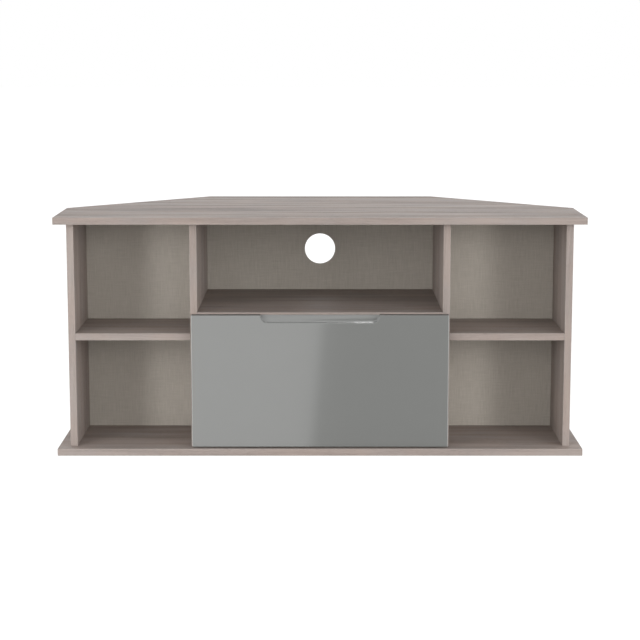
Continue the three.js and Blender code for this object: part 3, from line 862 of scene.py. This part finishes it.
def make_back_pins(material):
    """Panel pins through the rear of each back, into the rear edges of the boards that it lies against."""
    for name, uprights, shelf in (
        ("left_back", ("left_end_panel",), "left_shelf"),
        ("right_back", ("right_end_panel",), "right_shelf"),
        ("centre_back", ("left_divider", "right_divider"), "centre_shelf"),
    ):
        low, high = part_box(name + "_panel")
        shelf_low, shelf_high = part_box(shelf)
        places = []
        for upright in uprights:
            upright_low, upright_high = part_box(upright)
            places += [((upright_low.x + upright_high.x) / 2, z) for z in spaced(low.z, high.z)]
        places += [(x, (shelf_low.z + shelf_high.z) / 2) for x in spaced(shelf_low.x, shelf_high.x)]
        bm = bmesh.new()
        for x, z in places:
            add_head(bm, (x, high.y, z), (0.0, 1.0, 0.0), PIN_RADIUS, PIN_RISE, rings=4, around=16)
        smooth_with_creases(bm, PIN_CREASE)
        new_piece(name + "_pins", bm, material, "carcass")


# ---------------------------------------------------------------- stage

# The sky's strength at the horizon, how much that changes up to the zenith, and the strength below.
SKY_LEVEL = 1.80
SKY_RISE = -1.40
SKY_BELOW = 0.15
BACKDROP_WHITE = 1.0  # what the camera sees behind the object

FLOOR_REACH = 30.0
FLOOR_LEVEL = -0.0005
FLOOR_WHITE = 1.02  # what the camera sees
FLOOR_BOUNCE = 0.44  # what the object gets
FLOOR_PAINT = 0.10

GLOSSY_ONLY = ("camera", "diffuse", "shadow", "transmission")  # rays that pass by a card

# The reflection card: its rectangle, and the soft, leaning edge where its glow ends.
CARD_X = (-2.2, 0.25)
CARD_Y = -2.0
CARD_Z = (-1.4, 1.6)
CARD_GLOW = 1.36
CARD_EDGE_SOFT = 0.055
CARD_EDGE_LEAN = 0.0895
CARD_EDGE_X = 0.0062
CARD_EDGE_Z = -0.016

# The highlight card: its sides, and (y, z) of its lower and upper edge.
HIGHLIGHT_X = (0.07, 0.27)
HIGHLIGHT_LOWER = (-2.0, 2.2)
HIGHLIGHT_UPPER = (-1.0, 2.9)
HIGHLIGHT_GLOW = 11.0

# Lights: place, target, width, height, spread in degrees, power. Each side light is given as it stands on
# the right, with a power for either side.
FRONT_LIGHT = ((0.0, -3.6, 1.0), (0.0, 0.0, 0.25), 1.4, 1.2, 180.0, 4.0)
SIDE_LIGHTS = {
    "key": ((2.33, -3.23, 0.95), (0.0, 0.0, 0.25), 1.1, 1.2, 180.0, {"left": 14.0, "right": 23.5}),
    "softbox": ((2.7, -1.7, 0.8), (0.0, -0.1, 0.25), 1.2, 1.2, 180.0, {"left": 13.0, "right": 13.0}),
    "strip": ((1.20, -1.22, 0.33), (0.36, -0.02, 0.26), 0.20, 1.05, 100.0, {"left": 1.7, "right": 1.3}),
}


def make_world():
    """White behind the object, and soft white light from all round it, strongest near the horizon.

    Only reflections look below the horizon, where the studio is dim."""
    world = bpy.data.worlds.new("studio")
    bpy.context.scene.world = world
    world.use_nodes = True
    world.node_tree.nodes.clear()
    graph = Graph(world.node_tree)
    path = graph.node("ShaderNodeLightPath")
    direction = graph.node("ShaderNodeTexCoord").outputs["Generated"]
    up = graph.separate(direction)[2]
    above = graph.math("MULTIPLY_ADD", graph.math("MAXIMUM", up, 0.0), SKY_RISE, SKY_LEVEL)
    sky = graph.fit(graph.math("GREATER_THAN", up, 0.0), 0.0, 1.0, SKY_BELOW, above)
    background = graph.node("ShaderNodeBackground")
    strength = graph.fit(path.outputs["Is Camera Ray"], 0.0, 1.0, sky, BACKDROP_WHITE)
    background.inputs["Color"].default_value = (1.0, 1.0, 1.0, 1.0)
    graph.feed(background.inputs["Strength"], strength)
    output = graph.node("ShaderNodeOutputWorld")
    graph.feed(output.inputs["Surface"], background.outputs[0])


def stage_quad(name, material_name, corners, unseen_by):
    """A one-faced stage object that some kinds of ray pass by. Returns its material's empty graph."""
    mesh = bpy.data.meshes.new(name)
    mesh.from_pydata(corners, [], [(0, 1, 2, 3)])
    quad = bpy.data.objects.new(name, mesh)
    bpy.context.scene.collection.objects.link(quad)
    material, graph = new_material(material_name)
    material.cycles.emission_sampling = "NONE"
    mesh.materials.append(material)
    for ray in unseen_by:
        setattr(quad, "visible_" + ray, False)
    return graph


def emission(graph, strength):
    glow = graph.node("ShaderNodeEmission")
    graph.feed(glow.inputs["Strength"], strength)
    return glow.outputs[0]


def make_floor():
    """A plain pale floor, which reads as white paper and gives the object less light than it shows."""
    near, far = -FLOOR_REACH, FLOOR_REACH
    corners = [(x, y, FLOOR_LEVEL) for x, y in ((near, near), (far, near), (far, far), (near, far))]
    graph = stage_quad("floor", "floor_paper", corners, ("glossy", "shadow"))
    path = graph.node("ShaderNodeLightPath")
    strength = graph.fit(path.outputs["Is Camera Ray"], 0.0, 1.0, FLOOR_BOUNCE, FLOOR_WHITE)
    paint = graph.node("ShaderNodeBsdfDiffuse")
    paint.inputs["Color"].default_value = (FLOOR_PAINT, FLOOR_PAINT, FLOOR_PAINT, 1.0)
    both = graph.node("ShaderNodeAddShader")
    graph.feed(both.inputs[0], emission(graph, strength))
    graph.feed(both.inputs[1], paint.outputs[0])
    finish_with(graph, both.outputs[0])


def make_reflection_card():
    """A card in front and to the left that only glossy surfaces see, glowing up to a soft, leaning edge."""
    left, right = CARD_X
    low, high = CARD_Z
    corners = [(left, CARD_Y, low), (right, CARD_Y, low), (right, CARD_Y, high), (left, CARD_Y, high)]
    graph = stage_quad("reflection_card", "reflection_card_glow", corners, GLOSSY_ONLY)
    place, _ = graph.coordinates()
    x, _, z = graph.separate(place)
    lean = graph.product(graph.math("SUBTRACT", z, CARD_EDGE_Z), CARD_EDGE_LEAN)
    inside = graph.math("SUBTRACT", graph.math("ADD", lean, CARD_EDGE_X), x)
    share = graph.fit(inside, -CARD_EDGE_SOFT / 2, CARD_EDGE_SOFT / 2, smooth=True)
    clear = graph.node("ShaderNodeBsdfTransparent")
    blend = graph.node("ShaderNodeMixShader")
    graph.feed(blend.inputs[0], share)
    graph.feed(blend.inputs[1], clear.outputs[0])
    graph.feed(blend.inputs[2], emission(graph, CARD_GLOW))
    finish_with(graph, blend.outputs[0])


def make_highlight_card():
    """A small bright card high in front that only glossy surfaces see: it glints on the rounded lip."""
    lower = [(x, *HIGHLIGHT_LOWER) for x in HIGHLIGHT_X]
    upper = [(x, *HIGHLIGHT_UPPER) for x in reversed(HIGHLIGHT_X)]
    graph = stage_quad("highlight_card", "highlight_card_glow", lower + upper, GLOSSY_ONLY)
    finish_with(graph, emission(graph, HIGHLIGHT_GLOW))


def area_light(name, place, target, width, height, spread, power):
    data = bpy.data.lights.new(name, "AREA")
    data.shape = "RECTANGLE"
    data.spread = math.radians(spread)
    data.size = width
    data.size_y = height
    data.energy = power
    light = bpy.data.objects.new(name, data)
    light.location = place
    aim = Vector(target) - Vector(place)
    light.rotation_euler = aim.to_track_quat("-Z", "Y").to_euler()
    light.visible_camera = False
    light.visible_glossy = False
    bpy.context.scene.collection.objects.link(light)


def make_lights():
    area_light("front_softbox", *FRONT_LIGHT)
    for side, sign in (("left", -1), ("right", 1)):
        for kind, (place, target, width, height, spread, power) in SIDE_LIGHTS.items():
            here, there = ((sign * x, y, z) for x, y, z in (place, target))
            area_light(side + "_" + kind, here, there, width, height, spread, power[side])


def make_stage():
    make_world()
    make_floor()
    make_reflection_card()
    make_highlight_card()
    make_lights()
    bpy.context.scene.view_settings.view_transform = "Standard"


make_camera()
shared_materials = dress_cad_nodes()
make_drawer_front(shared_materials["gloss_front"])
make_front_shade_edging()
make_runner_screws(shared_materials["zinc_steel"])
make_back_pins(shared_materials["zinc_steel"])
make_stage()
